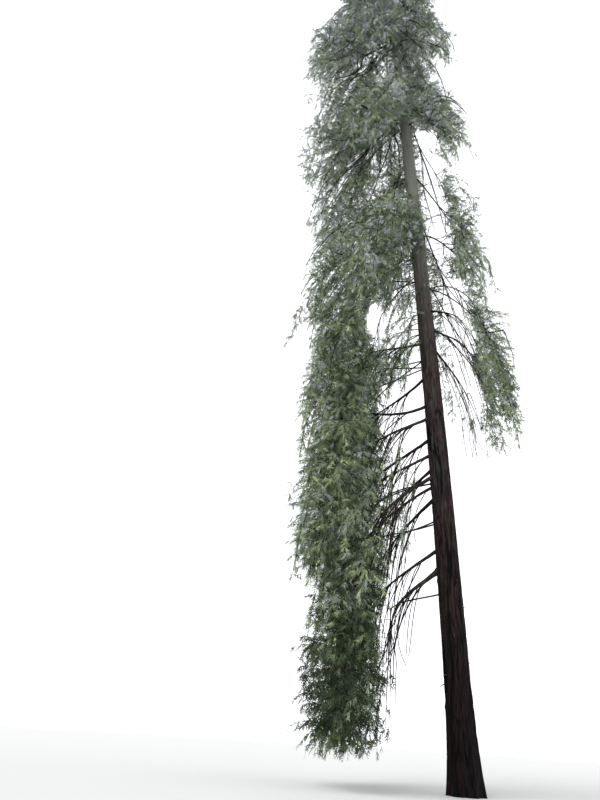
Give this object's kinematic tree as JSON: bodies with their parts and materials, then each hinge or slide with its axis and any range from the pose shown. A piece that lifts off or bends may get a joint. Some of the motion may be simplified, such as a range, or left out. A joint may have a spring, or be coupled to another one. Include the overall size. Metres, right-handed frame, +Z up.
{
  "type": "redwood tree",
  "caption": "Tall forest redwood: furrowed, slightly leaning trunk with a root flare, bare drooping boughs and a narrow crown of hanging foliage, fuller on one side.",
  "frame": {"origin": "middle of the flat cut under the trunk, at ground level", "axes": "+Z straight up, -X towards the fuller, weeping side of the crown, -Y towards the viewer, +X towards the open side"},
  "size_m": [7.5911, 7.242, 40],
  "materials": {
    "trunk_bark": "thick, fibrous, furrowed bark, dull",
    "bough_bark": "thin, scaly, dark bark, dull",
    "foliage": "flat sprays of short needles, slightly waxy"
  },
  "bodies": {
    "root": {"trunk": "trunk_bark", "bough_1": "bough_bark", "bough_2": "bough_bark", "bough_3": "bough_bark", "bough_4": "bough_bark", "bough_5": "bough_bark", "bough_6": "bough_bark", "bough_7": "bough_bark", "bough_8": "bough_bark", "bough_9": "bough_bark", "bough_10": "bough_bark", "bough_11": "bough_bark", "bough_12": "bough_bark", "bough_13": "bough_bark", "bough_14": "bough_bark", "bough_15": "bough_bark", "foliage_skirt_1": "foliage", "foliage_low_curtain_1": "foliage", "foliage_low_curtain_2": "foliage", "foliage_low_curtain_3": "foliage", "foliage_low_curtain_4": "foliage", "foliage_mid_curtain_1": "foliage", "foliage_mid_curtain_2": "foliage", "foliage_mid_curtain_3": "foliage", "foliage_mid_curtain_4": "foliage", "foliage_high_curtain_1": "foliage", "foliage_high_curtain_2": "foliage", "foliage_high_curtain_3": "foliage", "foliage_open_side_1": "foliage", "foliage_open_side_2": "foliage", "foliage_open_side_3": "foliage", "foliage_tier_one_1": "foliage", "foliage_tier_one_2": "foliage", "foliage_tier_one_3": "foliage", "foliage_tier_one_4": "foliage", "foliage_tier_one_5": "foliage", "foliage_tier_two_1": "foliage", "foliage_tier_two_2": "foliage", "foliage_tier_two_3": "foliage", "foliage_tier_three_1": "foliage", "foliage_tier_three_2": "foliage", "foliage_tier_three_3": "foliage", "foliage_tier_three_4": "foliage", "foliage_tier_three_5": "foliage", "foliage_tier_four_1": "foliage", "foliage_tier_four_2": "foliage", "foliage_tier_four_3": "foliage", "foliage_tier_five_1": "foliage", "foliage_tier_five_2": "foliage", "foliage_tier_five_3": "foliage", "foliage_tier_five_4": "foliage", "foliage_tier_five_5": "foliage", "foliage_tier_six_1": "foliage", "foliage_tier_six_2": "foliage", "foliage_tier_six_3": "foliage", "foliage_tier_six_4": "foliage", "foliage_tier_seven_1": "foliage", "foliage_tier_seven_2": "foliage", "foliage_tier_seven_3": "foliage", "foliage_crown_tip": "foliage"}
  },
  "joints": []
}
